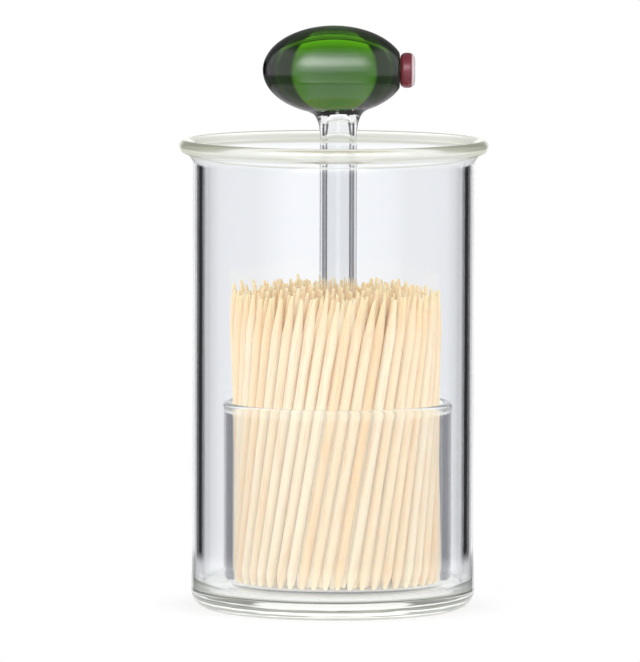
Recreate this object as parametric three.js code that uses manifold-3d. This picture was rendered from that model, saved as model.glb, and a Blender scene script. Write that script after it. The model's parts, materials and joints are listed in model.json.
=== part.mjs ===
// Glass toothpick holder: a clear outer jar, and inside it a lift-out insert made of
// an open cup, a hollow stem and a solid glass olive with a red stuffing bead.
// The cup is packed with round wooden toothpicks that stand on its floor and lean
// round the stem in a slight twist.
// Millimetres, +Z up, origin at the centre of the jar's underside.

import * as THREE from 'three';
import { mergeVertices } from 'three/addons/utils/BufferGeometryUtils.js';
import Module from 'manifold-3d';

const wasm = await Module();
wasm.setup();

// Driving dimensions: outer jar, with room round the insert's rim
const jarHeight = 105.2;
const jarClearance = 3.6;
const jarWall = 2.1;
const jarFloor = 4.2;
const jarFootBulge = 0.3;
const jarFootRadius = 4.5;
const jarFootBlend = 8;
const jarInnerCorner = 2.6;
const jarRimOverhang = 3.25;
const jarBead = 1.55;
const jarFlare = 3;

// Driving dimensions: insert, standing on the jar's floor a little to the right of its axis
const insertOffset = 1;
const cupRadius = 25.6;
const cupWall = 2;
const cupFloor = 1.8;
const cupHeight = 42.4;
const cupOuterCorner = 4.2;
const cupInnerCorner = 1.6;
const cupRimOverhang = 0.2;
const cupBead = 1.15;
const cupFlare = 1.5;
const stemRadius = 4.15;
const stemWall = 1.2;
const stemFoot = 1.6;
const stemNeck = 2.4;
const stemNeckOut = 1.75;
const knobLift = 5.5;
const oliveHalfLength = 16;
const oliveHalfWidth = 10;
const oliveOffset = -1;
const beadRadius = 3.95;
const beadThickness = 3.4;
const beadEdge = 1.5;
const beadHeel = 0.5;

// Driving dimensions: toothpicks, and how loosely the bundle is packed
const pickLength = 65;
const pickRadius = 1;
const pickTip = 0.3;
const pickTaper = 8.5;
const pickLonger = 1.4;
const pickRise = 2.6;
const pickGap = 0.15;
const wallPlay = 0.3;
const twist = THREE.MathUtils.degToRad(28);
const topShift = 0.5;
const footSpread = 0.15;
const headOut = 0.3;
const headSpread = 0.5;
const freeEnd = 16;
const mostRingPicks = 54;
const standingEvery = 11;
const firstStanding = 1;

const quarter = Math.PI / 2;
const half = Math.PI;
const full = Math.PI * 2;

// Running gaps and the overrun of cuts
const seatGap = 0.3;
const overrun = 2;

// Roundness of the faceted surfaces
const jarSides = 48;
const cupSides = 40;
const stemSides = 20;
const oliveSides = 24;
const oliveSteps = 12;
const beadSides = 20;
const pickSides = 6;
const innerPickSides = 3;
const coreSides = 36;
const coreSteps = 4;

// Radii and levels that follow from the sizes above
const cupRimRadius = cupRadius + cupRimOverhang;
const jarRadius = cupRimRadius + jarClearance + jarWall;
const jarRimRadius = jarRadius + jarRimOverhang;
const cupBase = jarFloor;
const stemLength = jarHeight + knobLift - cupBase - cupFloor;

// The bundle: twisting it draws every ring in by the squeeze at half height, so rows
// and neighbours keep their gap there. Heads and feet of a ring are level.
const squeeze = Math.cos(twist / 2);
const outerRing = cupRadius - cupWall - pickRadius - wallPlay;
const leanRun = 2 * outerRing * Math.sin(twist / 2);
const pickHeight = Math.sqrt(pickLength * pickLength - leanRun * leanRun);
const pickSpace = (2 * pickRadius + pickGap) / squeeze;
const ringPicks = Math.min(mostRingPicks, Math.floor(full * outerRing / pickSpace));
const ringPlay = full * outerRing / ringPicks - pickSpace;
const innermostRing = stemRadius + stemFoot + seatGap + pickRadius + topShift;
const coreRadius = outerRing - (pickRadius + pickGap) / squeeze;
const coreHeight = pickHeight - freeEnd;

const glass = (color, opacity) => new THREE.MeshStandardMaterial({
  color,
  roughness: 0.03,
  metalness: 0,
  transparent: opacity < 1,
  opacity,
});
const clearGlass = () => glass(0xe8ecee, 0.3);
const oliveGlass = () => glass(0x5f8f22, 1);
const redGlass = () => glass(0x7a2028, 1);
const wood = () => new THREE.MeshStandardMaterial({ color: 0xd8b68c, roughness: 0.75, metalness: 0 });

// Points of an arc in the profile plane, x outwards from the axis and y up it.
function arc(x, y, radius, from, to, steps) {
  const points = [];
  for (let i = 0; i <= steps; i += 1) {
    const angle = from + (to - from) * i / steps;
    points.push(new THREE.Vector2(x + radius * Math.cos(angle), y + radius * Math.sin(angle)));
  }
  return points;
}

// A closed profile turned about the Z axis. Its points run anticlockwise in the
// profile plane, from the underside outwards, up, and back along the inside.
function turned(points, sides) {
  const geometry = new THREE.LatheGeometry(points, sides);
  geometry.rotateX(quarter);
  return geometry;
}

// The rolled rim of a blown vessel: the wall curves out along a flare and ends in a
// round bead. The bead meets the flare's outer arc smoothly and its inner arc in a line.
function rolledRim(outer, wall, rim, bead, flare, top) {
  const beadX = rim - bead;
  const beadY = top - bead;
  const flareX = outer + flare;
  const reach = flare + bead;
  const flareY = beadY - Math.sqrt(reach * reach - (flareX - beadX) * (flareX - beadX));
  const toFlare = Math.atan2(flareY - beadY, flareX - beadX);
  const inner = flare + wall;
  const turn = Math.acos((bead * bead + reach * reach - inner * inner) / (2 * bead * reach));
  const beadEnd = toFlare - turn;
  const endX = beadX + bead * Math.cos(beadEnd);
  const endY = beadY + bead * Math.sin(beadEnd);
  const innerStart = Math.atan2(endY - flareY, endX - flareX);
  return [
    ...arc(flareX, flareY, flare, half, toFlare + half, 3),
    ...arc(beadX, beadY, bead, toFlare, beadEnd + full, 8).slice(1),
    ...arc(flareX, flareY, inner, innerStart, half, 2).slice(1),
  ];
}

// Outer jar: flat thick floor, rounded heel a little proud of the wall, rolled rim.
function outerJar() {
  const heel = jarRadius + jarFootBulge - jarFootRadius;
  const inside = jarRadius - jarWall;
  return turned([
    new THREE.Vector2(0, 0),
    ...arc(heel, jarFootRadius, jarFootRadius, -quarter, 0, 4),
    new THREE.Vector2(jarRadius, jarFootRadius + jarFootBlend),
    ...rolledRim(jarRadius, jarWall, jarRimRadius, jarBead, jarFlare, jarHeight),
    ...arc(inside - jarInnerCorner, jarFloor + jarInnerCorner, jarInnerCorner, 0, -quarter, 3),
    new THREE.Vector2(0, jarFloor),
  ], jarSides);
}

// Inner cup: same build as the jar, shorter and thinner, with only a slight flare.
function innerCup() {
  const inside = cupRadius - cupWall;
  return turned([
    new THREE.Vector2(0, 0),
    ...arc(cupRadius - cupOuterCorner, cupOuterCorner, cupOuterCorner, -quarter, 0, 4),
    ...rolledRim(cupRadius, cupWall, cupRimRadius, cupBead, cupFlare, cupHeight),
    ...arc(inside - cupInnerCorner, cupFloor + cupInnerCorner, cupInnerCorner, 0, -quarter, 3),
    new THREE.Vector2(0, cupFloor),
  ], cupSides);
}

// Half an ellipse turned about its long axis, from one pole to the flat where the bead sits.
function oliveBody(halfLength, halfWidth, flat, sides) {
  const end = Math.asin(flat / halfLength);
  const points = [new THREE.Vector2(0, -halfLength)];
  for (let i = 1; i <= oliveSteps; i += 1) {
    const angle = -quarter + (end + quarter) * i / oliveSteps;
    points.push(new THREE.Vector2(halfWidth * Math.cos(angle), halfLength * Math.sin(angle)));
  }
  points.push(new THREE.Vector2(0, flat));
  const geometry = new THREE.LatheGeometry(points, sides);
  geometry.rotateZ(-quarter);
  return geometry;
}

// Where the olive is as wide as the bead, it ends in a flat that carries the bead.
const beadSeat = oliveHalfLength * Math.sqrt(1 - (beadRadius / oliveHalfWidth) * (beadRadius / oliveHalfWidth));

function olive() {
  return oliveBody(oliveHalfLength, oliveHalfWidth, beadSeat, oliveSides);
}

// Red bead: a thick button with a full round outer edge.
function stuffingBead() {
  const geometry = new THREE.LatheGeometry([
    new THREE.Vector2(0, 0),
    new THREE.Vector2(beadRadius - beadHeel, 0),
    new THREE.Vector2(beadRadius, beadHeel),
    ...arc(beadRadius - beadEdge, beadThickness - beadEdge, beadEdge, 0, quarter, 4),
    new THREE.Vector2(0, beadThickness),
  ], beadSides);
  geometry.rotateZ(-quarter);
  return geometry;
}

// A closed geometry as a solid, with only its positions and with shared points merged.
function toSolid(geometry) {
  const bare = new THREE.BufferGeometry();
  const plain = geometry.index ? geometry.toNonIndexed() : geometry;
  bare.setAttribute('position', plain.getAttribute('position').clone());
  const merged = mergeVertices(bare);
  const index = merged.index.array;
  const triangles = [];
  for (let i = 0; i < index.length; i += 3) {
    const [a, b, c] = [index[i], index[i + 1], index[i + 2]];
    if (a !== b && b !== c && c !== a) {
      triangles.push(a, b, c);
    }
  }
  return new wasm.Manifold(new wasm.Mesh({
    numProp: 3,
    vertProperties: new Float32Array(merged.getAttribute('position').array),
    triVerts: new Uint32Array(triangles),
  }));
}

function toGeometry(solid) {
  const mesh = solid.getMesh();
  const geometry = new THREE.BufferGeometry();
  geometry.setAttribute('position', new THREE.BufferAttribute(new Float32Array(mesh.vertProperties), 3));
  geometry.setIndex(new THREE.BufferAttribute(new Uint32Array(mesh.triVerts), 1));
  geometry.computeVertexNormals();
  return geometry;
}

// Hollow stem: a tube with a small foot on the cup's floor and a neck that opens out
// under the olive. Its top is cut to the olive's underside, a seat gap away.
function stemTube() {
  const bore = stemRadius - stemWall;
  const top = stemLength + oliveHalfWidth;
  const neckEnd = Math.acos((stemNeck - stemNeckOut) / stemNeck);
  const tube = toSolid(turned([
    new THREE.Vector2(bore, 0),
    ...arc(stemRadius + stemFoot, stemFoot, stemFoot, -quarter, -half, 3),
    ...arc(stemRadius + stemNeck, stemLength - stemNeck, stemNeck, half, half - neckEnd, 4),
    new THREE.Vector2(stemRadius + stemNeckOut, top),
    new THREE.Vector2(bore, top),
    new THREE.Vector2(bore, 0),
  ], stemSides));
  const cutter = oliveBody(oliveHalfLength + seatGap, oliveHalfWidth + seatGap, beadSeat, oliveSides);
  cutter.translate(oliveOffset, 0, top);
  return toGeometry(tube.subtract(toSolid(cutter)));
}

// Even scatter between 0 and 1 from a whole number: multiples of an irrational step.
function scatter(number, step) {
  return (number * step) % 1;
}
const golden = (Math.sqrt(5) - 1) / 2;
const silver = Math.sqrt(2) - 1;
const bronze = (Math.sqrt(13) - 3) / 2;
const centre = 1 / 2;
const up = new THREE.Vector3(0, 0, 1);

// The straight line of one pick: its foot on the cup's floor and its unit direction.
// Feet and heads lie on equal circles, turned by the twist, so that no two picks cross.
function pickLine(ring, angle, footBy, headBy, headTurn) {
  const foot = new THREE.Vector3(
    (ring + footBy) * Math.cos(angle),
    (ring + footBy) * Math.sin(angle),
    0,
  );
  const head = new THREE.Vector3(
    (ring + headBy) * Math.cos(angle + twist + headTurn) - topShift,
    (ring + headBy) * Math.sin(angle + twist + headTurn),
    pickHeight,
  );
  return { foot, direction: head.sub(foot).normalize() };
}

// Round toothpick, pointed at both ends.
function toothpick(long) {
  return turned([
    new THREE.Vector2(0, 0),
    new THREE.Vector2(pickTip, 0),
    new THREE.Vector2(pickRadius, pickTaper),
    new THREE.Vector2(pickRadius, long - pickTaper),
    new THREE.Vector2(pickTip, long),
    new THREE.Vector2(0, long),
  ], pickSides);
}

// One of the picks that stand in the ring next to the cup's wall, the first at the front.
// Those at the front stand on the floor, and the further back, the more they are jammed above it.
function ringPick(number) {
  const aside = ringPlay / 2 / outerRing;
  const angle = -quarter + full * number / ringPicks;
  const line = pickLine(
    outerRing,
    angle + aside * (scatter(number, bronze) - centre),
    footSpread * scatter(number, silver),
    headOut + headSpread * scatter(number, golden),
    aside * (scatter(number, golden) - centre),
  );
  const standing = number % standingEvery === firstStanding;
  const back = (1 + Math.sin(angle)) / 2;
  const rise = standing ? 0 : pickRise * back ** 2 * scatter(number, silver);
  const pick = new THREE.Mesh(toothpick(pickLength + pickLonger * scatter(number, bronze)), wood());
  pick.position.copy(line.foot).addScaledVector(line.direction, rise);
  pick.quaternion.setFromUnitVectors(up, line.direction);
  pick.name = `toothpick_${String(number + 1).padStart(2, '0')}`;
  return pick;
}

// Upper end of one inner pick, from inside the packed core to its point.
function innerPickEnd(ring, angle, rise) {
  const line = pickLine(ring, angle, 0, 0, 0);
  const start = (coreHeight - overrun) / line.direction.z;
  const point = pickLength + rise;
  const end = turned([
    new THREE.Vector2(0, start),
    new THREE.Vector2(pickRadius, start),
    new THREE.Vector2(pickRadius, point - pickTaper),
    new THREE.Vector2(pickTip, point),
    new THREE.Vector2(0, point),
  ], innerPickSides);
  end.rotateZ(angle);
  end.applyQuaternion(new THREE.Quaternion().setFromUnitVectors(up, line.direction));
  end.translate(line.foot.x, line.foot.y, 0);
  return toSolid(end);
}

// The inner picks touch all the way up, so their lower lengths are one twisted core
// with a bore for the stem and its foot, and their upper ends stand free above it.
function innerBundle() {
  const core = new THREE.CylinderGeometry(coreRadius, coreRadius, coreHeight, coreSides, coreSteps);
  core.rotateX(quarter);
  core.translate(0, 0, coreHeight / 2);
  const position = core.getAttribute('position');
  for (let i = 0; i < position.count; i += 1) {
    const share = position.getZ(i) / pickHeight;
    const x = position.getX(i);
    const y = position.getY(i);
    const turnedX = x * Math.cos(twist) - y * Math.sin(twist) - topShift;
    const turnedY = x * Math.sin(twist) + y * Math.cos(twist);
    position.setXY(i, x + (turnedX - x) * share, y + (turnedY - y) * share);
  }
  const bore = new THREE.CylinderGeometry(
    stemRadius + seatGap,
    stemRadius + stemFoot + seatGap,
    coreHeight + 2 * overrun,
    stemSides,
  );
  bore.rotateX(quarter);
  bore.translate(0, 0, coreHeight / 2);
  let bundle = toSolid(core);
  let count = 0;
  for (let ring = outerRing - pickSpace; ring > innermostRing; ring -= pickSpace) {
    const number = Math.floor(full * ring / pickSpace);
    for (let i = 0; i < number; i += 1) {
      const angle = full * (i + scatter(count, golden)) / number;
      bundle = bundle.add(innerPickEnd(ring, angle, pickRise * scatter(count + i, golden)));
    }
    count += number;
  }
  return toGeometry(bundle.subtract(toSolid(bore)));
}

function named(name, geometry, material) {
  const mesh = new THREE.Mesh(geometry, material);
  mesh.name = name;
  return mesh;
}

const holder = new THREE.Group();
holder.add(named('outer_jar', outerJar(), clearGlass()));

const insert = new THREE.Group();
insert.position.set(insertOffset, 0, cupBase);
holder.add(insert);
insert.add(named('inner_cup', innerCup(), clearGlass()));

const stem = named('stem_tube', stemTube(), clearGlass());
stem.position.z = cupFloor;
insert.add(stem);

const knob = new THREE.Group();
knob.position.set(oliveOffset, 0, cupFloor + stemLength + oliveHalfWidth);
insert.add(knob);
knob.add(named('olive_knob', olive(), oliveGlass()));
const bead = named('stuffing_bead', stuffingBead(), redGlass());
bead.position.x = beadSeat;
knob.add(bead);

const picks = new THREE.Group();
picks.position.z = cupFloor + seatGap;
insert.add(picks);
picks.add(named('inner_toothpicks', innerBundle(), wood()));
for (let number = 0; number < ringPicks; number += 1) {
  picks.add(ringPick(number));
}

export default holder;
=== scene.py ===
"""Glass toothpick holder: clear jar, lift-out cup of wooden picks, stem, green glass olive and red bead."""

import json
import math

import bpy
import numpy as np
from bpy.props import FloatProperty, FloatVectorProperty, IntProperty, PointerProperty
from bpy.types import Operator, Panel, PropertyGroup
from mathutils import Matrix, Vector


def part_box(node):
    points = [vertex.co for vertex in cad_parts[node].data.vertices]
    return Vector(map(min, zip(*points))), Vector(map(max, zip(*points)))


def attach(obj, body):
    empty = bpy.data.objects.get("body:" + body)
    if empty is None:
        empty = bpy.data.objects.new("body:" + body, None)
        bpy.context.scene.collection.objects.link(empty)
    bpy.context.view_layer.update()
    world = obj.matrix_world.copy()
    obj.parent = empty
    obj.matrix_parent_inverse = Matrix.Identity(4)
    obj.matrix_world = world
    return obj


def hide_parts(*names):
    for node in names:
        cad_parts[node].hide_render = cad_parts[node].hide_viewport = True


bl_info = {
    "name": "Glass toothpick holder",
    "version": (1, 0, 0),
    "blender": (4, 5, 0),
    "location": "View3D > Sidebar > Holder",
    "description": "Builds the surfaces, materials and studio of a glass toothpick holder round its frame",
    "category": "Object",
}

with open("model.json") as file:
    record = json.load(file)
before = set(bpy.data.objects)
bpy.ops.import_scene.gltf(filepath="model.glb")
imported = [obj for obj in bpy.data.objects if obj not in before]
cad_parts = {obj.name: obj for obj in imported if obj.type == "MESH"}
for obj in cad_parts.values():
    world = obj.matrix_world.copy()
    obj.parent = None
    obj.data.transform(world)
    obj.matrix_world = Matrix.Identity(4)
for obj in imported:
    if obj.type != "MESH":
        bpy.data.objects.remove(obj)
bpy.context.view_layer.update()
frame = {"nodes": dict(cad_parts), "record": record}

QUARTER = math.pi / 2
FULL = math.pi * 2
GOLDEN = (math.sqrt(5) - 1) / 2

# Room between pieces, in metres
SEAT_GAP = 0.00003
TABLE_GAP = 0.0001
LOOSE_GAP = 0.0003

# Fineness of the surfaces
PROFILE_STEP = 0.00012
VESSEL_SIDES = 160
TUBE_SIDES = 96
TABLE_SIDES = 96
BEAD_SIDES = 64
OLIVE_ROWS = 72
STEM_ROWS = 42
NECK_ROWS = 17
CUT_ROWS = 9

# Form of the neck: shares of its flare, and how far its corner lies under the olive
NECK_ACROSS = 0.3
NECK_PULL = 0.12
NECK_CORNER = 0.25
NECK_DROP = 0.0002

# Optics of the materials, and the level of the studio's dark flags
GLASS_IOR = 1.474
OLIVE_IOR = 1.51
BEAD_IOR = 1.5
WOOD_IOR = 1.45
WAVE_DEPTH = 0.0002
BASE_FADE = 0.002
VEIL_FADE = 0.003
FLAG = 0.03
BLACK = (0, 0, 0)
WHITE = (1, 1, 1)


def length(name, description, default):
    """A length property in metres."""
    return FloatProperty(name=name, description=description, default=default, unit="LENGTH", precision=5)


def amount(name, description, default):
    """A plain number property."""
    return FloatProperty(name=name, description=description, default=default)


def tilt(name, description, degrees):
    """An angle property, with its default in degrees."""
    return FloatProperty(name=name, description=description, subtype="ANGLE", default=math.radians(degrees))


def colour(name, description, default):
    """A colour property."""
    return FloatVectorProperty(name=name, description=description, subtype="COLOR", size=3,
                               min=0, max=1, default=default)


class JarSizes(PropertyGroup):
    """Sizes and glass of the outer jar."""
    height: length("Height", "From the table to the top of the rim", 0.1052)
    radius: length("Radius", "Outside radius of the straight wall", 0.0315)
    wall: length("Wall", "Thickness of the wall", 0.0021)
    floor: length("Floor", "Thickness of the base", 0.0042)
    heel: length("Heel", "Radius of the rounded outer heel", 0.0045)
    bulge: length("Bulge", "How far the heel stands proud of the wall", 0.0003)
    blend: length("Blend", "Height over which the heel runs into the wall", 0.008)
    corner: length("Corner", "Radius of the inner corner at the floor", 0.0026)
    rim: length("Rim", "Outside radius of the rolled rim", 0.03475)
    bead: length("Bead", "Radius of the rim's bead", 0.00155)
    flare: length("Flare", "Radius of the flare under the rim", 0.003)
    tint: colour("Tint", "What the wall lets through", (0.972, 0.984, 1.0))
    rim_low: amount("Rim start", "Where the bead's glass starts, in bead radii under the top", 1.85)
    rim_high: amount("Rim full", "Where the bead's glass is full, in bead radii under the top", 1.5)
    rim_tint: colour("Rim tint", "What the bead lets through", (0.30, 0.303, 0.325))
    # Painted glow: light emitted by the bead in place of the light that runs round inside it
    rim_painted_glow: colour("Rim glow", "Light that runs round inside the bead", (0.255, 0.262, 0.205))
    rim_haze: amount("Rim haze", "Roughness of the bead", 0.15)
    base_tint: colour("Base tint", "What the thick base lets through", (0.78, 0.79, 0.76))
    # Painted glow: light emitted by the base in place of the light that runs round inside it
    base_painted_glow: colour("Base glow", "Light that runs round inside the base", (0.09, 0.092, 0.086))


class CupSizes(PropertyGroup):
    """Sizes, place and glass of the inner cup."""
    offset: length("Offset", "How far the insert stands to the right of the jar's axis", 0.001)
    height: length("Height", "From the cup's underside to the top of its rim", 0.0424)
    radius: length("Radius", "Outside radius of the straight wall", 0.0256)
    wall: length("Wall", "Thickness of the wall", 0.002)
    floor: length("Floor", "Thickness of the base", 0.0018)
    heel: length("Heel", "Radius of the rounded outer heel", 0.0042)
    corner: length("Corner", "Radius of the inner corner at the floor", 0.0016)
    rim: length("Rim", "Outside radius of the rolled rim", 0.0258)
    bead: length("Bead", "Radius of the rim's bead", 0.00115)
    flare: length("Flare", "Radius of the flare under the rim", 0.0015)
    tint: colour("Tint", "What the wall lets through", (0.985, 0.99, 0.995))
    rim_low: amount("Rim start", "Where the bead's glass starts, in bead radii under the top", 2.1)
    rim_high: amount("Rim full", "Where the bead's glass is full, in bead radii under the top", 1.7)
    rim_tint: colour("Rim tint", "What the bead lets through", (0.85, 0.86, 0.83))
    # Painted glow: light emitted by the bead in place of the light that runs round inside it
    rim_painted_glow: colour("Rim glow", "Light that runs round inside the bead", (0.07, 0.071, 0.068))
    rim_haze: amount("Rim haze", "Roughness of the bead", 0.1)
    base_tint: colour("Base tint", "What the thick base lets through", (0.93, 0.935, 0.93))
    # Painted glow: light emitted by the base in place of the light that runs round inside it
    base_painted_glow: colour("Base glow", "Light that runs round inside the base", (0.035, 0.035, 0.034))


class KnobSizes(PropertyGroup):
    """Sizes and glass of the stem, the olive and its bead."""
    stem: length("Stem", "Outside radius of the hollow stem", 0.00415)
    wall: length("Wall", "Thickness of the stem's wall", 0.0012)
    foot: length("Foot", "Radius of the stem's foot on the cup's floor", 0.0016)
    neck: length("Neck", "Height over which the stem opens out under the olive", 0.0042)
    neck_out: length("Neck flare", "How far the stem opens out under the olive", 0.0024)
    half_length: length("Half length", "Half the length of the olive", 0.016)
    half_width: length("Half width", "Half the width of the olive", 0.010)
    bead_radius: length("Bead radius", "Radius of the red bead", 0.00395)
    bead_thickness: length("Bead thickness", "How far the red bead stands off the olive", 0.0034)
    bead_edge: length("Bead edge", "Radius of the bead's rounded edge", 0.0015)
    clear: colour("Stem tint", "What the stem lets through", (0.985, 0.99, 0.995))
    green: colour("Green", "What light keeps on its way through the olive", (0.475, 0.70, 0.02))
    density: amount("Density", "Depth of the olive's colour, per metre", 345.0)
    # Painted shade: the olive's outline is darkened where its surface turns edge-on to the view
    edge: colour("Edge", "What the olive's outline lets through", (0.32, 0.38, 0.32))
    # Painted glow: light emitted by the olive's lower middle in place of the light that comes up from the
    # picks
    painted_veil: colour("Veil", "Light that comes up into the olive from the picks", (0.034, 0.022, 0.042))
    veil_right: length("Veil right", "How far right of the olive's middle the veil lies", 0.001)
    veil_under: length("Veil under", "How far under the olive's middle the veil ends", 0.0016)
    veil_reach: length("Veil reach", "How far the veil reaches to each side", 0.0085)
    red: colour("Red", "Colour of the bead", (0.22, 0.035, 0.055))
    pale: colour("Pale end", "Colour of the bead's end", (0.62, 0.55, 0.56))
    pale_depth: length("Pale depth", "How far in the bead's pale end reaches", 0.0009)


class PickSizes(PropertyGroup):
    """Sizes of the toothpicks and how they are packed."""
    length: length("Length", "Length of one pick", 0.065)
    radius: length("Radius", "Radius of one pick", 0.001)
    full: length("Full radius", "Radius of an outer pick as it shows", 0.00114)
    inner: length("Inner radius", "Radius of an inner pick as it shows", 0.00106)
    tip: length("Tip", "Radius at the blunt point", 0.00028)
    taper: length("Taper", "Length of the pointed upper end", 0.0085)
    blunt: length("Blunt end", "Length of the blunter lower end", 0.0034)
    rise: length("Rise", "The most that a pick stands up above its neighbours", 0.0026)
    gap: length("Gap", "Room between two picks", 0.00015)
    nest: length("Nest", "How far the second ring stands behind the first", 0.00188)
    play: length("Play", "Room between the outer picks and the cup", 0.0003)
    shift: length("Shift", "How far the heads lean to the left", 0.0005)
    twist: tilt("Twist", "How far the heads are turned round from the feet", 28)
    sides: IntProperty(name="Sides", description="Facets round one pick", default=12)
    pale: colour("Pale", "Lightest wood", (0.945, 0.81, 0.615))
    warm: colour("Warm", "Warmer wood", (0.92, 0.71, 0.46))
    grain: colour("Grain", "Fibres and knots", (0.78, 0.51, 0.285))
    # Painted shade: the browner colour of the inner picks where little light gets in between the outer ones
    painted_shade: colour("Shade", "What is left of the colour between the outer picks", (0.80, 0.63, 0.44))


class StageSizes(PropertyGroup):
    """The studio: camera, lamp and table."""
    distance: length("Distance", "From the jar's axis to the camera", 2.40)
    eye: length("Eye", "Height of the camera above the table", 0.262)
    aim_right: length("Aim right", "Where the camera aims, right of the jar's axis", -0.003)
    aim_up: length("Aim up", "Height at which the camera aims", 0.0622)
    field: length("Field", "Height of the picture at the jar's axis", 0.1482)
    roll: tilt("Roll", "Tilt of the camera about its line of sight", 0.15)
    floor: length("Floor", "Radius of the pale table round the jar", 0.064)
    sky: amount("Sky", "Strength of the even light from all round", 1.0)
    backdrop: amount("Backdrop", "Strength of the white screens behind the glass", 1.0)
    lamp_power: amount("Lamp power", "Power of the lamp overhead, in watts", 2.2)
    lamp_right: length("Lamp right", "How far right of the jar's axis the lamp hangs", 0.15)
    lamp_front: length("Lamp front", "How far in front of the jar's axis the lamp hangs", 0.25)
    lamp_up: length("Lamp up", "Height of the lamp above the table", 1.3)
    lamp_width: length("Lamp width", "Width of the lamp", 0.7)
    lamp_depth: length("Lamp depth", "Depth of the lamp", 0.5)
    lamp_aim: length("Lamp aim", "Height at which the lamp aims", 0.06)


def circle(sides):
    """Angles all the way round in even steps."""
    return np.linspace(0, FULL, sides, endpoint=False)


def arc(x, z, radius, start, end, steps):
    """Points of an arc in the profile plane, at centre plus radius times (cosine, sine) of the angle."""
    angle = np.linspace(start, end, steps + 1)
    return np.column_stack((x + radius * np.cos(angle), z + radius * np.sin(angle)))


def evened(profile, softenings, step=PROFILE_STEP):
    """The outline with points every step along it, each then drawn towards the mean of its neighbours."""
    run = np.concatenate(([0.0], np.cumsum(np.hypot(*np.diff(profile, axis=0).T))))
    places = np.linspace(0, run[-1], int(round(run[-1] / step)) + 1)
    even = np.column_stack((np.interp(places, run, profile[:, 0]), np.interp(places, run, profile[:, 1])))
    for _ in range(softenings):
        even[1:-1] = (even[:-2] + 2 * even[1:-1] + even[2:]) / 4
    even[[0, -1], 0] = 0
    return even


def thinned(profile, bend=math.radians(3), stride=0.002):
    """The points of the outline where it has bent by another step, or run on by another stride."""
    along = np.diff(profile, axis=0)
    heading = np.unwrap(np.arctan2(along[:, 1], along[:, 0]))
    turned = np.concatenate(([0.0], np.abs(np.diff(heading)), [0.0]))
    run = np.concatenate(([0.0], np.cumsum(np.hypot(*along.T))))
    mark = np.floor(np.cumsum(turned) / bend + run / stride)
    keep = np.concatenate(([True], mark[1:] != mark[:-1]))
    keep[-1] = True
    return profile[keep]


def rolled_rim(sizes):
    """Outline of a rolled rim: an arc out from the wall, a round bead, and an arc back in."""
    bead, flare = sizes.bead, sizes.flare
    bead_x, bead_z = sizes.rim - bead, sizes.height - bead
    flare_x, reach, inner = sizes.radius + flare, flare + bead, flare + sizes.wall
    flare_z = bead_z - math.sqrt(reach ** 2 - (flare_x - bead_x) ** 2)
    to_flare = math.atan2(flare_z - bead_z, flare_x - bead_x)
    bead_end = to_flare - math.acos((bead ** 2 + reach ** 2 - inner ** 2) / (2 * bead * reach))
    end_x, end_z = bead_x + bead * math.cos(bead_end), bead_z + bead * math.sin(bead_end)
    inner_start = math.atan2(end_z - flare_z, end_x - flare_x)
    return np.vstack((
        arc(flare_x, flare_z, flare, math.pi, to_flare + math.pi, 16),
        arc(bead_x, bead_z, bead, to_flare, bead_end + FULL, 40)[1:],
        arc(flare_x, flare_z, inner, inner_start, math.pi, 10)[1:],
    ))


def vessel_outline(sizes, bulge, blend):
    """Outline of a blown vessel: flat base, round heel, straight wall, rolled rim, inner wall and floor."""
    heel, corner, inside = sizes.heel, sizes.corner, sizes.radius - sizes.wall
    outline = np.vstack((
        [[0.0, 0.0]],
        arc(sizes.radius + bulge - heel, heel, heel, -QUARTER, 0, 16),
        [[sizes.radius, heel + blend]],
        rolled_rim(sizes),
        arc(inside - corner, sizes.floor + corner, corner, 0, -QUARTER, 10),
        [[0.0, sizes.floor]],
    ))
    return thinned(evened(outline, 14))


def add_object(name, mesh, material):
    """Puts a finished mesh into the scene at the origin with its material."""
    mesh.materials.append(material)
    piece = bpy.data.objects.new(name, mesh)
    bpy.context.scene.collection.objects.link(piece)
    return piece


def to_mesh(name, points, quads, triangles):
    """A smooth mesh from arrays of points and faces."""
    mesh = bpy.data.meshes.new(name)
    mesh.from_pydata(points.tolist(), [], quads.tolist() + triangles.tolist())
    mesh.update()
    mesh.shade_smooth()
    return mesh


def grid_faces(rows, columns):
    """Quads of a grid of points that closes on itself round each row, as an array of corner numbers."""
    row = np.arange(rows - 1)[:, None] * columns
    here = np.arange(columns)[None, :]
    there = (here + 1) % columns
    return np.stack((row + here, row + there, row + there + columns, row + here + columns), -1).reshape(-1, 4)


def end_fans(rows, columns):
    """Triangles that close a grid of points at both ends, with two poles numbered after its rows."""
    here = np.arange(columns)
    there = (here + 1) % columns
    top = (rows - 1) * columns
    return np.vstack((
        np.stack((np.full(columns, rows * columns), there, here), -1),
        np.stack((np.full(columns, rows * columns + 1), top + here, top + there), -1),
    ))


def turned_mesh(name, outline, sides, place, along_x=False):
    """A lathe of an outline of (r, h) that starts and ends on its axis.

    About Z: x = X + r cos t, y = Y + r sin t, z = Z + h.
    Along X: x = X + h, y = Y + r cos t, z = Z + r sin t.
    """
    angle = circle(sides)
    radius, height = outline[1:-1, 0][:, None], outline[1:-1, 1][:, None]
    rings = np.stack((radius * np.cos(angle), radius * np.sin(angle), height + 0 * angle), -1)
    poles = [(0, 0, outline[0, 1]), (0, 0, outline[-1, 1])]
    points = place + np.roll(np.vstack((rings.reshape(-1, 3), poles)), int(along_x), axis=1)
    rows = len(outline) - 2
    return to_mesh(name, points, grid_faces(rows, sides), end_fans(rows, sides))


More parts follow.
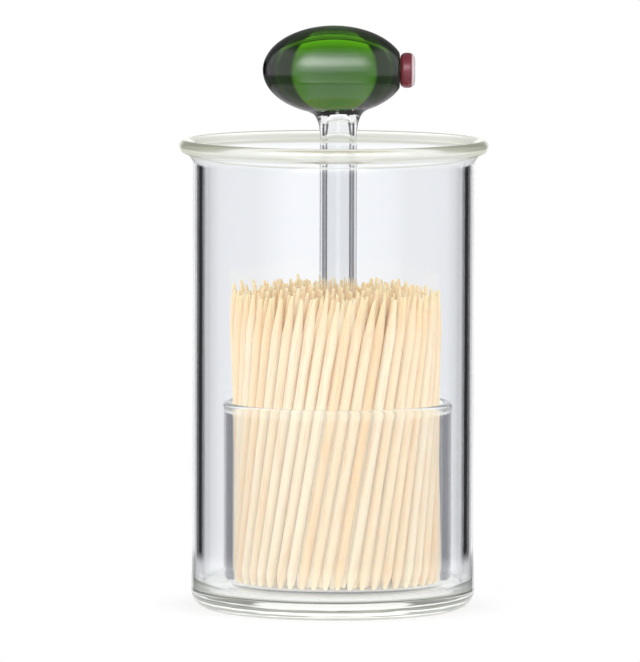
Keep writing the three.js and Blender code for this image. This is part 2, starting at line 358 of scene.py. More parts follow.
class Nodes:
    """Adds shader nodes to a tree, with short forms for arithmetic, steps and blends."""

    def __init__(self, tree):
        self.tree = tree
        tree.nodes.clear()

    def add(self, kind, properties=None, **inputs):
        """A node of a kind. Inputs go by name or number, and a colour is three numbers."""
        node = self.tree.nodes.new("ShaderNode" + kind)
        for key, value in (properties or {}).items():
            setattr(node, key, value)
        for key, value in inputs.items():
            socket = node.inputs[int(key[1:]) if key[1:].isdigit() else key.replace("_", " ")]
            if isinstance(value, bpy.types.NodeSocket):
                self.tree.links.new(value, socket)
            else:
                socket.default_value = (*value, 1) if socket.type == "RGBA" else value
        return node

    def calc(self, operation, *values):
        """One step of arithmetic."""
        inputs = {"_%d" % place: value for place, value in enumerate(values)}
        return self.add("Math", {"operation": operation}, **inputs).outputs[0]

    def ramp(self, value, start, end, first=0.0, last=1.0, kind="SMOOTHSTEP"):
        """A step from a first level to a last one as the value goes from start to end."""
        return self.add("MapRange", {"interpolation_type": kind}, Value=value, From_Min=start,
                        From_Max=end, To_Min=first, To_Max=last).outputs[0]

    def mix(self, share, first, second):
        """A number between two, by a share."""
        return self.add("Mix", {"data_type": "FLOAT"}, _0=share, _2=first, _3=second).outputs[0]

    def blend(self, share, first, second, kind="MIX"):
        """A colour between two, by a share."""
        return self.add("Mix", {"data_type": "RGBA", "blend_type": kind}, _0=share, _6=first,
                        _7=second).outputs[2]

    def levels(self, value, *stops):
        """A smooth run through (value, level) stops, for values from -1 to 1 and levels up to 10."""
        node = self.add("ValToRGB", Fac=self.ramp(value, -1.0, 1.0, kind="LINEAR"))
        band = node.color_ramp
        band.interpolation = "EASE"
        band.elements.remove(band.elements[1])
        for place, (at, level) in enumerate(stops):
            element = band.elements.new((at + 1) / 2) if place else band.elements[0]
            element.position = (at + 1) / 2
            element.color = (level / 10, level / 10, level / 10, 1)
        return self.calc("MULTIPLY", node.outputs[0], 10.0)

    def shader(self, kind, **inputs):
        """A shader of a kind."""
        return self.add(kind, **inputs).outputs[0]


def node_material(name):
    """An empty node material and its nodes."""
    material = bpy.data.materials.new(name)
    material.use_nodes = True
    return material, Nodes(material.node_tree)


def see_through_to_lamps(nodes, surface):
    """Lets lamps and scattered light straight through a glass, so that they reach what stands behind it."""
    path = nodes.add("LightPath").outputs
    clear = nodes.shader("BsdfTransparent")
    scattered = nodes.shader("MixShader", _0=path["Is Diffuse Ray"], _1=surface, _2=clear)
    return nodes.shader("MixShader", _0=path["Is Shadow Ray"], _1=scattered, _2=clear)


def blown_surface():
    """Group: the faint waves of blown glass, as a height that follows the piece's own place."""
    if "Blown surface" in bpy.data.node_groups:
        return bpy.data.node_groups["Blown surface"]
    group = bpy.data.node_groups.new("Blown surface", "ShaderNodeTree")
    group.interface.new_socket("Scale", in_out="INPUT", socket_type="NodeSocketFloat")
    group.interface.new_socket("Height", in_out="OUTPUT", socket_type="NodeSocketFloat")
    nodes = Nodes(group)
    entry = group.nodes.new("NodeGroupInput")
    place = nodes.add("TexCoord").outputs["Object"]
    stretched = nodes.add("Mapping", Vector=place, Scale=(1.0, 1.0, 0.35)).outputs[0]
    waves = nodes.add("TexNoise", Vector=stretched, Scale=entry.outputs[0], Detail=1.0, Roughness=0.4)
    leave = group.nodes.new("NodeGroupOutput")
    group.links.new(waves.outputs[0], leave.inputs[0])
    return group


def blown_normal(nodes, scale, strength):
    """The normal of a surface with the waves of blown glass."""
    waves = nodes.add("Group", {"node_tree": blown_surface()}, Scale=scale).outputs[0]
    return nodes.add("Bump", Strength=strength, Distance=WAVE_DEPTH, Height=waves).outputs[0]


def clear_glass(name, tint, rim, base):
    """Clear borosilicate glass with faint waves, which are stronger at the base.

    The rim's bead and the thick base each have a height, a tint and a painted glow, light emitted in place of
    the light that runs round inside them. The bead also has a haze.
    """
    material, nodes = node_material(name)
    place = nodes.add("TexCoord").outputs["Object"]
    height = nodes.add("SeparateXYZ", Vector=place).outputs["Z"]
    floor = base["height"]
    bead = nodes.ramp(height, rim["low"], rim["high"])
    thick = nodes.ramp(height, floor, floor + BASE_FADE, 1.0, 0.0)
    waviness = nodes.ramp(height, floor, floor + 2 * BASE_FADE, 0.5, 0.05)

    def by_height(wall, low, high):
        """A colour for the wall, one for the base and one for the bead."""
        return nodes.blend(bead, nodes.blend(thick, wall, low), high)

    # The bead and the base glow with painted light, emitted in place of the light that runs round inside them
    shader = nodes.shader(
        "BsdfPrincipled", Base_Color=by_height(tint, base["tint"], rim["tint"]),
        Roughness=nodes.calc("MULTIPLY", bead, rim["haze"]), IOR=GLASS_IOR, Transmission_Weight=1.0,
        Normal=blown_normal(nodes, 130.0, waviness), Emission_Strength=1.0,
        Emission_Color=by_height(BLACK, base["painted_glow"], rim["painted_glow"]))
    nodes.add("OutputMaterial", Surface=see_through_to_lamps(nodes, shader))
    return material


def vessel_glass(name, sizes, top, floor):
    """Clear glass of a vessel whose rim and floor lie at these heights."""
    rim = {"low": top - sizes.rim_low * sizes.bead, "high": top - sizes.rim_high * sizes.bead,
           "tint": sizes.rim_tint, "painted_glow": sizes.rim_painted_glow, "haze": sizes.rim_haze}
    base = {"height": floor, "tint": sizes.base_tint, "painted_glow": sizes.base_painted_glow}
    return clear_glass(name, sizes.tint, rim, base)


def olive_glass(sizes, middle):
    """Solid green glass: clear at the surface, coloured by the length of glass that light crosses.

    Its outline has painted shade, darker where its surface turns edge-on to the view, and its lower middle
    has a faint painted veil, a glow in place of the light that comes up from the picks.
    """
    material, nodes = node_material("olive_green_glass")
    place = nodes.add("TexCoord").outputs["Object"]
    along, _, height = nodes.add("SeparateXYZ", Vector=place).outputs
    # The painted veil: a glow in the lower middle in place of the light that comes up from the picks
    side = nodes.calc("ABSOLUTE", nodes.calc("SUBTRACT", along, middle[0] + sizes.veil_right))
    low = nodes.ramp(height, middle[2] - 2 * sizes.veil_under, middle[2] - sizes.veil_under, 1.0, 0.0)
    near = nodes.ramp(side, sizes.veil_reach - VEIL_FADE, sizes.veil_reach, 1.0, 0.0)
    painted_veil = nodes.blend(nodes.calc("MULTIPLY", low, near), BLACK, sizes.painted_veil)
    # Painted shade on the outline, darker where the surface turns edge-on to the view
    facing = nodes.add("LayerWeight", Blend=0.5).outputs["Facing"]
    painted_edge_shade = nodes.blend(nodes.ramp(facing, 0.38, 0.56), WHITE, sizes.edge)
    shader = nodes.shader("BsdfPrincipled", Base_Color=painted_edge_shade, Roughness=0.0, IOR=OLIVE_IOR,
                          Transmission_Weight=1.0, Normal=blown_normal(nodes, 120.0, 0.06),
                          Emission_Color=painted_veil, Emission_Strength=1.0)
    depth = nodes.shader("VolumeAbsorption", Color=sizes.green, Density=sizes.density)
    nodes.add("OutputMaterial", Surface=see_through_to_lamps(nodes, shader), Volume=depth)
    return material


def bead_glass(sizes, end):
    """Opaque red glass with a hard gloss, darker streaks and a pale end."""
    material, nodes = node_material("bead_red_glass")
    place = nodes.add("TexCoord").outputs["Object"]
    along = nodes.add("SeparateXYZ", Vector=place).outputs["X"]
    streaks = nodes.add("TexNoise", Vector=place, Scale=420.0, Detail=2.0).outputs[0]
    streaked = nodes.blend(streaks, [0.45 * value for value in sizes.red], sizes.red)
    cap = nodes.ramp(along, end - sizes.pale_depth, end - sizes.pale_depth / 1.5)
    shader = nodes.shader("BsdfPrincipled", Base_Color=nodes.blend(cap, streaked, sizes.pale),
                          Roughness=0.25, IOR=BEAD_IOR, Specular_IOR_Level=0.25, Coat_Weight=0.15,
                          Coat_Roughness=0.05)
    nodes.add("OutputMaterial", Surface=shader)
    return material


def pick_wood(name, sizes, lets_through):
    """Pale turned wood: fibres along each pick from its own UV map, and a tone of its own for each pick.

    The outer picks let scattered light through. The picks behind them get painted shade, a browner colour
    between the cup's rim and their heads, where little light gets in.
    """
    material, nodes = node_material(name)
    tone = nodes.add("Attribute", {"attribute_name": "tone"}).outputs["Fac"]
    around = nodes.add("UVMap", {"uv_map": "UVMap"}).outputs[0]
    across, up, _ = nodes.add("SeparateXYZ", Vector=around).outputs
    own = nodes.calc("MULTIPLY", tone, 57.0)
    place = nodes.add("CombineXYZ", X=across, Y=up, Z=own).outputs[0]
    fine = nodes.add("Mapping", Vector=place, Scale=(9.0, 5.0, 1.0)).outputs[0]
    fibres = nodes.add("TexNoise", Vector=fine, Scale=1.0, Detail=5.0, Roughness=0.65).outputs[0]
    slow = nodes.add("Mapping", Vector=place, Scale=(1.0, 2.5, 1.0)).outputs[0]
    patches = nodes.add("TexNoise", Vector=slow, Scale=1.0, Detail=2.0).outputs[0]
    # Random tone per pick and in patches, and warmer towards the heads: a painted shade between the tips
    tone_and_head_shade = nodes.calc("ADD", nodes.calc("MULTIPLY_ADD", patches, 0.5, tone),
                        nodes.ramp(up, 0.80, 1.0, 0.0, 0.7, kind="LINEAR"))
    body = nodes.blend(nodes.ramp(tone_and_head_shade, 0.3, 1.25, kind="LINEAR"), sizes.pale, sizes.warm)
    lines = nodes.ramp(fibres, 0.50, 0.74, 0.0, 0.6, kind="LINEAR")
    wood = nodes.blend(lines, body, sizes.grain)
    if not lets_through:
        # Painted shade: browner between the cup's rim and the heads, where the outer picks keep the light out
        painted_shade_band = nodes.calc("MULTIPLY", nodes.ramp(up, 0.56, 0.66), nodes.ramp(up, 0.82, 0.92, 1.0, 0.0))
        wood = nodes.blend(painted_shade_band, wood, sizes.painted_shade, kind="MULTIPLY")
    bump = nodes.add("Bump", Strength=0.25, Distance=0.0001, Height=fibres).outputs[0]
    surface = nodes.shader("BsdfPrincipled", Base_Color=wood, Roughness=0.7, IOR=WOOD_IOR,
                           Specular_IOR_Level=0.15, Subsurface_Weight=0.8,
                           Subsurface_Radius=(1.0, 0.75, 0.5), Subsurface_Scale=0.0012, Normal=bump)
    if lets_through:
        scattered = nodes.add("LightPath").outputs["Is Diffuse Ray"]
        surface = nodes.shader("MixShader", _0=scattered, _1=surface, _2=nodes.shader("BsdfTransparent"))
    nodes.add("OutputMaterial", Surface=surface)
    return material


def pick_outline(sizes, full):
    """Outline of a pick along its length: blunt lower end, straight body, long taper and a small flat tip."""
    share = np.array([0.0, 0.05, 0.5, 1.0])
    width = full - sizes.tip
    low = np.column_stack((sizes.tip + width * share ** 0.55, sizes.blunt * share))
    high = np.column_stack((sizes.tip + width * share ** 0.9, sizes.length - sizes.taper * share))[::-1]
    return np.vstack((low, [[full, sizes.length / 2]], high))


def pick_map(mesh, run, sides, count):
    """UV map of the picks in the order of their faces: u goes once round each and v up its length."""
    here = np.arange(sides)
    row = np.repeat(np.arange(len(run) - 1), sides)
    side = np.tile(here, len(run) - 1)
    quad_u = np.stack((side, side + 1, side + 1, side), -1) / sides
    quad_v = np.stack((run[row], run[row], run[row + 1], run[row + 1]), -1)
    fan_u = np.tile(np.stack((here + 0.5, here + 1.0, here), -1), (2, 1)) / sides
    fan_v = np.repeat([0.0, 1.0], sides * 3).reshape(-1, 3)
    quad_uv = np.tile(np.stack((quad_u, quad_v), -1).reshape(-1, 2), (count, 1))
    fan_uv = np.tile(np.stack((fan_u, fan_v), -1).reshape(-1, 2), (count, 1))
    mesh.uv_layers.new(name="UVMap").uv.foreach_set("vector", np.vstack((quad_uv, fan_uv)).ravel())


def pick_mesh(name, sizes, full, feet, directions, extra, tones):
    """Round picks: foot + d h + r (e cos t + f sin t), with e and f square to each unit direction d."""
    outline = pick_outline(sizes, full)
    rows, sides, count = len(outline), sizes.sides, len(feet)
    east = np.cross(np.array([0.0, 1.0, 0.0]), directions)
    east /= np.linalg.norm(east, axis=1)[:, None]
    north = np.cross(directions, east)
    turn = FULL * (np.arange(sides)[None, :] / sides + tones[:, None])
    ring = np.cos(turn)[..., None] * east[:, None] + np.sin(turn)[..., None] * north[:, None]
    radius, height = outline[:, 0], outline[:, 1]
    up = height + np.where(height > sizes.length / 2, extra[:, None], 0)
    body = (feet[:, None, None] + up[:, :, None, None] * directions[:, None, None]
            + radius[None, :, None, None] * ring[:, None])
    ends = np.stack((feet, feet + (sizes.length + extra[:, None]) * directions), 1)
    points = np.concatenate((body.reshape(count, rows * sides, 3), ends), 1)
    each = rows * sides + 2
    start = np.arange(count)[:, None, None] * each
    quads = (grid_faces(rows, sides)[None] + start).reshape(-1, 4)
    triangles = (end_fans(rows, sides)[None] + start).reshape(-1, 3)
    mesh = to_mesh(name, points.reshape(-1, 3), quads, triangles)
    pick_map(mesh, height / sizes.length, sides, count)
    mesh.attributes.new("tone", "FLOAT", "POINT").data.foreach_set("value", np.repeat(tones, each))
    return mesh


def node_axis(name, margin=0.0006):
    """Foot, unit direction and length of a straight pick, from the middles of its two end faces."""
    mesh = frame["nodes"][name].data
    points = np.empty(len(mesh.vertices) * 3)
    mesh.vertices.foreach_get("co", points)
    points = points.reshape(-1, 3)
    foot = points[points[:, 2] < points[:, 2].min() + margin]
    head = points[points[:, 2] > points[:, 2].max() - margin]
    foot, head = (foot.min(0) + foot.max(0)) / 2, (head.min(0) + head.max(0)) / 2
    reach = np.linalg.norm(head - foot)
    return foot, (head - foot) / reach, reach


def scatter(numbers, step=GOLDEN):
    """Even scatter between 0 and 1 from whole numbers: multiples of an irrational step."""
    return (numbers * step) % 1


def tones_of(numbers):
    """A tone from 0 to 1 for each pick number, from the last digits of a large sine."""
    return scatter(np.sin(numbers * 12.9898) * 43758.5453, 1.0)


def olive_middle(sizes):
    """Middle of the olive in the frame: halfway up its box, and a half length in from its left end."""
    low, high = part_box("olive_knob")
    return np.array([low.x + sizes.half_length, (low.y + high.y) / 2, (low.z + high.z) / 2])


def olive_seat(sizes):
    """How far right of the olive's middle its flat for the bead lies."""
    return sizes.half_length * math.sqrt(1 - (sizes.bead_radius / sizes.half_width) ** 2)


class HOLDER_OT_jar(Operator):
    """Adds the outer jar"""
    bl_idname = "holder.jar"
    bl_label = "Outer jar"

    def execute(self, context):
        sizes = context.scene.holder_jar
        outline = vessel_outline(sizes, sizes.bulge, sizes.blend)
        glass = vessel_glass("jar_glass", sizes, sizes.height, sizes.floor)
        piece = add_object("jar_glass", turned_mesh("jar_glass", outline, VESSEL_SIDES, (0, 0, 0)), glass)
        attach(piece, "jar")
        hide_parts("outer_jar")
        return {"FINISHED"}


class HOLDER_OT_cup(Operator):
    """Adds the inner cup"""
    bl_idname = "holder.cup"
    bl_label = "Inner cup"

    def execute(self, context):
        sizes, jar = context.scene.holder_cup, context.scene.holder_jar
        outline = vessel_outline(sizes, 0.0, sizes.flare)
        glass = vessel_glass("cup_glass", sizes, jar.floor + sizes.height, jar.floor + sizes.floor)
        mesh = turned_mesh("cup_glass", outline, VESSEL_SIDES, (sizes.offset, 0, jar.floor + SEAT_GAP))
        piece = add_object("cup_glass", mesh, glass)
        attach(piece, "insert")
        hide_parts("inner_cup")
        return {"FINISHED"}


class HOLDER_OT_stem(Operator):
    """Adds the hollow stem"""
    bl_idname = "holder.stem"
    bl_label = "Stem"

    def execute(self, context):
        sizes, cup, jar = context.scene.holder_knob, context.scene.holder_cup, context.scene.holder_jar
        low = jar.floor + cup.floor + 2 * SEAT_GAP
        middle = olive_middle(sizes)
        angle = circle(TUBE_SIDES)

        def ring(radius, height):
            """A row of the surface."""
            return radius + 0 * angle, height + 0 * angle

        def under_olive(radius):
            """Height of the olive's underside at a radius round the stem."""
            x = (cup.offset + radius * np.cos(angle) - middle[0]) / (sizes.half_length + SEAT_GAP)
            y = (radius * np.sin(angle) - middle[1]) / (sizes.half_width + SEAT_GAP)
            return middle[2] - (sizes.half_width + SEAT_GAP) * np.sqrt(1 - x ** 2 - y ** 2)

        # The neck is a parabola from the stem to the olive, through a corner close under the olive
        bore = sizes.stem - sizes.wall
        outer = sizes.stem + sizes.neck_out * (NECK_ACROSS + (1 - NECK_ACROSS) * np.cos(angle) ** 2)
        start = (middle[2] - sizes.half_width) - sizes.neck
        bend = np.linspace(0, 1, NECK_ROWS)[:, None]
        first, between, last = (1 - bend) ** 2, 2 * bend * (1 - bend), bend ** 2
        corner = under_olive(sizes.stem + NECK_CORNER * (outer - sizes.stem)) - NECK_DROP
        pulled = (1 - NECK_PULL) * sizes.stem + NECK_PULL * outer
        neck_radius = (first * sizes.stem + between * pulled + last * outer) + 0 * angle
        neck_height = first * start + between * corner + last * under_olive(outer)

        foot = arc(sizes.stem + sizes.foot, low + sizes.foot, sizes.foot, -QUARTER, -math.pi, 8)
        rows = [ring(bore, low)]
        rows += [ring(radius, height) for radius, height in foot]
        straight = np.linspace(low + sizes.foot, start, STEM_ROWS)[1:-1]
        rows += [ring(sizes.stem, height) for height in straight]
        rows += list(zip(neck_radius, neck_height))
        for share in np.linspace(0, 1, CUT_ROWS)[1:]:
            radius = outer * (1 - share) + bore * share
            rows.append((radius, under_olive(radius)))
        for share in np.linspace(0, 1, STEM_ROWS)[1:-1]:
            rows.append((rows[-1][0], under_olive(bore) * (1 - share) + low * share))
        radius, height = np.array(rows).transpose(1, 0, 2)
        points = np.stack((cup.offset + radius * np.cos(angle), radius * np.sin(angle), height), -1)
        quads = grid_faces(len(rows) + 1, TUBE_SIDES) % (len(rows) * TUBE_SIDES)
        mesh = to_mesh("stem_glass", points.reshape(-1, 3), quads, np.empty((0, 3), int))
        # The stem has neither a rim nor a base, so both lie beyond its ends
        beyond = 0.01
        away = {"low": middle[2], "high": middle[2] + beyond, "height": low - beyond,
                "tint": sizes.clear, "painted_glow": BLACK, "haze": 0.0}
        glass = clear_glass("stem_glass", sizes.clear, away, away)
        piece = add_object("stem_glass", mesh, glass)
        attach(piece, "insert")
        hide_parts("stem_tube")
        return {"FINISHED"}


class HOLDER_OT_olive(Operator):
    """Adds the green glass olive"""
    bl_idname = "holder.olive"
    bl_label = "Olive"

    def execute(self, context):
        sizes = context.scene.holder_knob
        middle, seat = olive_middle(sizes), olive_seat(sizes)
        along = np.linspace(-QUARTER, math.asin(seat / sizes.half_length), OLIVE_ROWS)[1:]
        outline = np.vstack((
            [[0.0, -sizes.half_length]],
            np.column_stack((sizes.half_width * np.cos(along), sizes.half_length * np.sin(along))),
            [[0.0, seat]],
        ))
        mesh = turned_mesh("olive_glass", outline, TUBE_SIDES, middle, along_x=True)
        piece = add_object("olive_glass", mesh, olive_glass(sizes, middle))
        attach(piece, "insert")
        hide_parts("olive_knob")
        return {"FINISHED"}


class HOLDER_OT_bead(Operator):
    """Adds the red glass bead"""
    bl_idname = "holder.bead"
    bl_label = "Red bead"

    def execute(self, context):
        sizes = context.scene.holder_knob
        middle = olive_middle(sizes)
        seat = olive_seat(sizes) + SEAT_GAP
        edge = sizes.bead_edge
        back = 0.8 * edge
        outline = evened(np.vstack((
            [[0.0, 0.0]],
            arc(sizes.bead_radius - back, back, back, -QUARTER, 0, 12),
            arc(sizes.bead_radius - edge, sizes.bead_thickness - edge, edge, 0, QUARTER, 12),
            [[0.0, sizes.bead_thickness]],
        )), 10)
        mesh = turned_mesh("bead_glass", outline, BEAD_SIDES, middle + (seat, 0, 0), along_x=True)
        glass = bead_glass(sizes, middle[0] + seat + sizes.bead_thickness)
        piece = add_object("bead_glass", mesh, glass)
        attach(piece, "insert")
        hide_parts("stuffing_bead")
        return {"FINISHED"}


class HOLDER_OT_ring_picks(Operator):
    """Adds the ring of toothpicks next to the cup's wall"""
    bl_idname = "holder.ring_picks"
    bl_label = "Outer toothpicks"

    def execute(self, context):
        sizes = context.scene.holder_picks
        wood = pick_wood("outer_pick_wood", sizes, lets_through=True)
        nodes = sorted(name for name in frame["nodes"] if name.startswith("toothpick_"))
        bodies = frame["record"]["behaviour"]["bodies"]
        for number, node in enumerate(nodes):
            foot, direction, reach = node_axis(node)
            extra = np.array([reach - sizes.length])
            tone = tones_of(np.array([number + 1.0]))
            name = node.replace("toothpick", "pick")
            mesh = pick_mesh(name, sizes, sizes.full, foot[None], direction[None], extra, tone)
            piece = add_object(name, mesh, wood)
            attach(piece, next(body for body, held in bodies.items() if node in held))
            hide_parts(node)
        return {"FINISHED"}


class HOLDER_OT_inner_picks(Operator):
    """Adds the toothpicks inside the ring"""
    bl_idname = "holder.inner_picks"
    bl_label = "Inner toothpicks"

    def execute(self, context):
        scene = context.scene
        sizes, cup, jar, knob = scene.holder_picks, scene.holder_cup, scene.holder_jar, scene.holder_knob
        base = jar.floor + cup.floor + LOOSE_GAP
        outer = cup.radius - cup.wall - sizes.radius - sizes.play
        lean = 2 * outer * math.sin(sizes.twist / 2)
        rise = math.sqrt(sizes.length ** 2 - lean ** 2)
        space = (2 * sizes.radius + sizes.gap) / math.cos(sizes.twist / 2)
        inmost = knob.stem + knob.foot + LOOSE_GAP + sizes.radius + sizes.shift
        feet, heads, lifts = [], [], []
        count = 0
        outer_count = sum(name.startswith("toothpick_") for name in frame["nodes"])
        # The first ring has as many picks as the outer one, stands in its gaps and rises less
        for ring in np.arange(outer - sizes.nest, inmost, -space):
            number = int(FULL * ring / space) if count else outer_count
            index = np.arange(number)
            start = scatter(count) if count else outer_count / 4 + 0.5
            angle = FULL * (index + start) / number
            feet.append(ring * np.column_stack((np.cos(angle), np.sin(angle), 0 * angle)))
            angle = angle + sizes.twist
            heads.append(np.column_stack((ring * np.cos(angle) - sizes.shift, ring * np.sin(angle),
                                          rise + 0 * angle)))
            lifts.append((sizes.rise if count else 0.2 * sizes.rise) * scatter(count + index))
            count += number
        feet, heads, lifts = np.vstack(feet), np.vstack(heads), np.concatenate(lifts)
        directions = heads - feet
        directions /= np.linalg.norm(directions, axis=1)[:, None]
        feet = feet + lifts[:, None] * directions + (cup.offset, 0, base)
        tones = tones_of(np.arange(count) + 100.0)
        mesh = pick_mesh("inner_picks", sizes, sizes.inner, feet, directions, np.zeros(count), tones)
        wood = pick_wood("inner_pick_wood", sizes, lets_through=False)
        piece = add_object("inner_picks", mesh, wood)
        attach(piece, "insert")
        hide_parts("inner_toothpicks")
        return {"FINISHED"}


def cosine(degrees):
    """Cosine of an angle in degrees."""
    return math.cos(math.radians(degrees))


def studio_world(sizes):
    """The studio that each kind of ray sees, by its direction (x, y, z) and by how it got there.

    It is white for the camera, even for scattered light, a wall between dark sides through the glass, and
    a softbox with pale sides for what the glass mirrors.
    """
    world = bpy.data.worlds.new("studio")
    bpy.context.scene.world = world
    world.use_nodes = True
    nodes = Nodes(world.node_tree)
    calc, ramp, mix, levels = nodes.calc, nodes.ramp, nodes.mix, nodes.levels
    place = nodes.add("TexCoord").outputs["Generated"]
    x, y, z = nodes.add("SeparateXYZ", Vector=place).outputs
    path = nodes.add("LightPath").outputs

    # In plan: cosine of the angle to the nearest of the four sides, and to straight behind the object
    level = calc("SQRT", calc("MAXIMUM", calc("SUBTRACT", 1.0, calc("MULTIPLY", z, z)), 0.0001))
    nearest = calc("DIVIDE", calc("MAXIMUM", calc("ABSOLUTE", x), calc("ABSOLUTE", y)), level)
    ahead = calc("DIVIDE", y, level)
    flat = levels(z, (-0.18, 0), (-0.12, 1), (0.12, 1), (0.18, 0))
    screen = ramp(ahead, cosine(23), cosine(18))
    window = calc("MULTIPLY", screen, flat)
    flag = calc("MULTIPLY", calc("SUBTRACT", ramp(ahead, cosine(54), cosine(48)), screen), flat)

    # A ray that has been through one piece of glass only, such as the olive
    single = calc("LESS_THAN", path["Transmission Depth"], 2.5)

    # Through the jar: a white wall, brighter low down, with dark sides
    outside = ramp(nearest, cosine(21.5), cosine(17), 1.0, 0.0)
    tall = levels(z, (-0.18, 0), (-0.12, 1), (0.35, 1), (0.45, 0))
    bright = calc("MULTIPLY", levels(z, (-0.55, 1.9), (-0.25, 1.0)), sizes.backdrop)
    wall = calc("MULTIPLY", bright, mix(flat, 1.0, ramp(nearest, cosine(2.6), 1.0, 0.9, 1.0)))
    walled = mix(calc("MULTIPLY", outside, tall), wall, FLAG)

    # Through the olive, and steeply down through any glass: light from under it between dark corners
    aside = ramp(nearest, cosine(25), cosine(21), 1.0, 0.0)
    corner = levels(z, (-0.52, 0.2), (-0.46, 0.45), (-0.27, 0.45), (-0.24, 0.2))
    under = levels(z, (-0.88, 0.3), (-0.8, 0.7), (-0.7, 1.9), (-0.6, 3.0), (-0.5, 2.1), (-0.42, 1.5),
                   (-0.25, 1.0))
    knob = mix(aside, under, mix(ramp(nearest, cosine(44), cosine(41)), corner, 0.1))
    through = mix(levels(z, (-0.52, 1), (-0.46, 0)), walled, knob)

    # Mirrored inside the glass: the white wall between flags, which are darker in a single piece
    low = levels(z, (-0.18, 0.95), (-0.12, 0.38), (-0.02, 0.38), (0.08, 0.95))
    inner = mix(window, mix(flag, low, mix(single, 0.15, FLAG)), sizes.backdrop)

    # Mirrored on its outside: the softbox in front, stronger to the left, and the pale sides of the room
    strip = levels(z, (-0.66, 3.4), (-0.60, 3.4), (-0.5, 2.4), (-0.36, 1.8), (-0.2, 1.6), (-0.08, 1.5),
                   (0.0, 2.4), (0.12, 3.6), (0.36, 8.2), (0.5, 7.5), (0.68, 3.2), (0.81, 1.0), (0.92, 0.2))
    softbox = calc("MULTIPLY", strip, calc("MULTIPLY_ADD", x, -0.45, 1.0))
    facing = ramp(calc("MULTIPLY", ahead, -1.0), cosine(50), cosine(26))
    room = levels(z, (-0.7, 0.3), (-0.3, 0.4), (-0.15, 1.3), (0.65, 1.3), (0.88, 0.15))
    sides = mix(ramp(ahead, cosine(75), cosine(50)), room, 0.25)
    outer = mix(window, mix(flag, mix(facing, sides, softbox), FLAG), sizes.backdrop)

    # Each ray gets its part
    mirrored = calc("GREATER_THAN", path["Glossy Depth"], 0.5)
    entered = calc("GREATER_THAN", path["Transmission Depth"], 0.5)
    seen = mix(mirrored, mix(single, through, knob), mix(entered, outer, inner))
    towards = calc("MULTIPLY_ADD", y, -0.30, calc("MULTIPLY_ADD", x, -0.06, calc("MULTIPLY", z, -0.10)))
    even = calc("MULTIPLY", calc("ADD", 1.0, towards), sizes.sky)
    bent = calc("MAXIMUM", path["Is Glossy Ray"], path["Is Transmission Ray"])
    strength = mix(path["Is Camera Ray"], mix(bent, even, seen), 1.0)
    cool = calc("MULTIPLY", calc("MULTIPLY", flat, mirrored),
                calc("MULTIPLY", bent, calc("SUBTRACT", 1.0, screen)))
    tint = nodes.blend(cool, WHITE, (1.0, 1.0, 1.07))
    nodes.add("OutputWorld", Surface=nodes.shader("Background", Color=tint, Strength=strength))


def table_material(sizes):
    """White table that keeps a soft shadow and fades away into the white round it."""
    material, nodes = node_material("table_white")
    place = nodes.add("TexCoord").outputs["Object"]
    away = nodes.add("VectorMath", {"operation": "LENGTH"}, _0=place).outputs["Value"]
    fade = nodes.ramp(away, 0.55 * sizes.floor, 0.98 * sizes.floor)
    path = nodes.add("LightPath").outputs
    bent = nodes.calc("MAXIMUM", path["Is Glossy Ray"], path["Is Transmission Ray"])
    straight = nodes.calc("MULTIPLY", path["Is Camera Ray"], 0.2)
    shown = nodes.calc("MULTIPLY_ADD", path["Is Diffuse Ray"], 0.4, straight)
    lift = nodes.calc("MULTIPLY_ADD", bent, 0.05, shown)
    white = nodes.shader("AddShader", _0=nodes.shader("BsdfDiffuse", Color=(0.9, 0.9, 0.9)),
                         _1=nodes.shader("Emission", Color=WHITE, Strength=lift))
    mixed = nodes.shader("MixShader", _0=fade, _1=white, _2=nodes.shader("BsdfTransparent"))
    nodes.add("OutputMaterial", Surface=mixed)
    return material


def aimed(place, target, roll=0.0):
    """The turn that points an object's -Z from place to target, rolled about that line."""
    heading = (Vector(target) - Vector(place)).to_track_quat("-Z", "Y").to_matrix()
    return (heading @ Matrix.Rotation(roll, 3, "Z")).to_euler()


def area_lamp(name, place, target, width, height, power):
    """A rectangular lamp that faces its target."""
    lamp = bpy.data.lights.new(name, "AREA")
    lamp.shape = "RECTANGLE"
    lamp.size, lamp.size_y, lamp.energy = width, height, power
    holder = bpy.data.objects.new(name, lamp)
    holder.location = place
    holder.rotation_euler = aimed(place, target)
    bpy.context.scene.collection.objects.link(holder)
    return holder


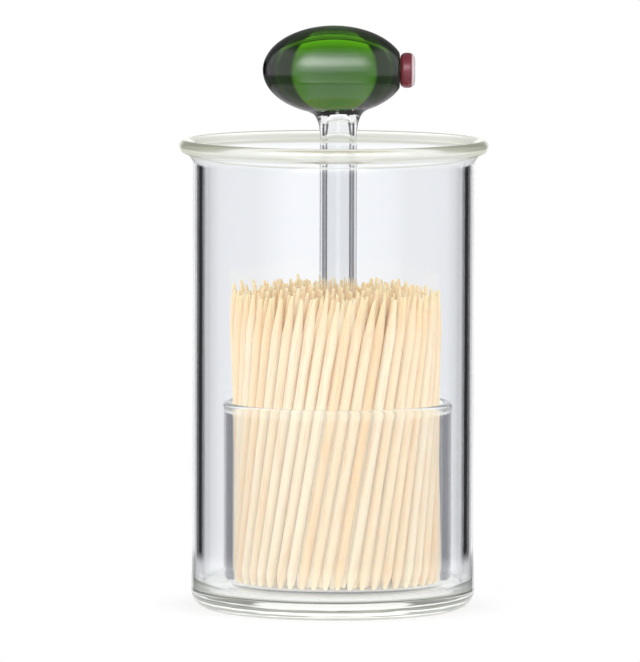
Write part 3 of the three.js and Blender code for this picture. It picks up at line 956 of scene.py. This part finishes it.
class HOLDER_OT_stage(Operator):
    """Adds the table, the light and the camera"""
    bl_idname = "holder.stage"
    bl_label = "Stage"

    def execute(self, context):
        sizes = context.scene.holder_stage
        angle = circle(TABLE_SIDES)
        rim = np.column_stack((sizes.floor * np.cos(angle), sizes.floor * np.sin(angle),
                               0 * angle - TABLE_GAP))
        mesh = bpy.data.meshes.new("table")
        mesh.from_pydata(rim.tolist(), [], [list(range(len(rim)))])
        table = add_object("table", mesh, table_material(sizes))
        studio_world(sizes)
        lamp = area_lamp("top_lamp", (sizes.lamp_right, -sizes.lamp_front, sizes.lamp_up),
                         (0, 0, sizes.lamp_aim), sizes.lamp_width, sizes.lamp_depth, sizes.lamp_power)
        lamp.visible_glossy = lamp.visible_transmission = False
        camera_data = bpy.data.cameras.new("camera")
        camera = bpy.data.objects.new("camera", camera_data)
        place = (sizes.aim_right, -sizes.distance, sizes.eye)
        target = (sizes.aim_right, 0, sizes.aim_up)
        camera.location = place
        camera.rotation_euler = aimed(place, target, sizes.roll)
        camera_data.sensor_width = 36
        camera_data.lens = camera_data.sensor_width * math.dist(place, target) / sizes.field
        camera_data.clip_start, camera_data.clip_end = 0.05, 20
        context.scene.collection.objects.link(camera)
        context.scene.camera = camera
        context.scene.view_settings.view_transform = "Standard"
        return {"FINISHED"}


class HOLDER_PT_panel(Panel):
    """Lists the holder's pieces and sizes"""
    bl_idname = "HOLDER_PT_panel"
    bl_label = "Toothpick holder"
    bl_space_type = "VIEW_3D"
    bl_region_type = "UI"
    bl_category = "Holder"

    def draw(self, context):
        for operator in OPERATORS:
            self.layout.operator(operator.bl_idname)
        for place, group in GROUPS.items():
            box = self.layout.box()
            box.label(text=group.__doc__)
            for name in group.__annotations__:
                box.prop(getattr(context.scene, place), name)


GROUPS = {
    "holder_jar": JarSizes,
    "holder_cup": CupSizes,
    "holder_knob": KnobSizes,
    "holder_picks": PickSizes,
    "holder_stage": StageSizes,
}
OPERATORS = (HOLDER_OT_stage, HOLDER_OT_jar, HOLDER_OT_cup, HOLDER_OT_stem, HOLDER_OT_olive, HOLDER_OT_bead,
             HOLDER_OT_ring_picks, HOLDER_OT_inner_picks)
CLASSES = (*GROUPS.values(), *OPERATORS, HOLDER_PT_panel)


def register():
    """Registers the classes and hangs the size groups on the scene."""
    for cls in CLASSES:
        bpy.utils.register_class(cls)
    for place, group in GROUPS.items():
        setattr(bpy.types.Scene, place, PointerProperty(type=group))


def unregister():
    """Takes the size groups and classes away again."""
    for place in GROUPS:
        delattr(bpy.types.Scene, place)
    for cls in reversed(CLASSES):
        bpy.utils.unregister_class(cls)


def main():
    """Registers the classes and builds everything."""
    register()
    bpy.ops.holder.stage()
    bpy.ops.holder.jar()
    bpy.ops.holder.cup()
    bpy.ops.holder.stem()
    bpy.ops.holder.olive()
    bpy.ops.holder.bead()
    bpy.ops.holder.ring_picks()
    bpy.ops.holder.inner_picks()


if __name__ == "__main__":
    main()
